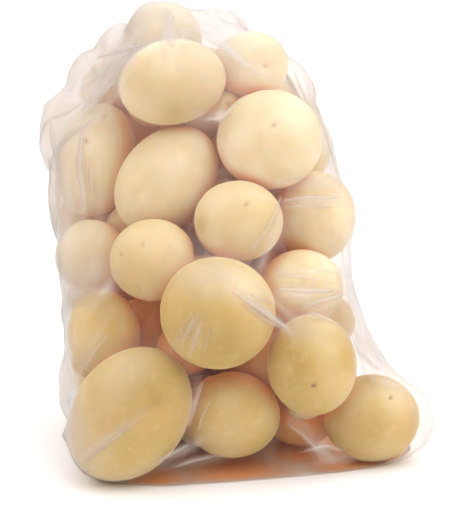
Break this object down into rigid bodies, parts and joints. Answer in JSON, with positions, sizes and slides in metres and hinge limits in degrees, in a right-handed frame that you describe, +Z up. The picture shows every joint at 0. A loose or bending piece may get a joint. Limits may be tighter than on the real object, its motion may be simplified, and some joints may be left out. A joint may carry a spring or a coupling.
{
  "type": "bag of potatoes",
  "caption": "Tied clear film bag filled with whole pale potatoes, standing upright on its flat base.",
  "frame": {"origin": "on the floor under the middle of the bag's bounding box, the tail included", "axes": "+Z up, -Y towards the front that shows, +X to the right of it"},
  "size_m": [0.2119, 0.1986, 0.2558],
  "materials": {
    "film": "clear soft plastic film drawn tight over smooth cream-yellow potatoes",
    "tie": "white plastic-covered wire, flat"
  },
  "bodies": {
    "root": {"bag": "film", "tie": "tie"}
  },
  "joints": []
}
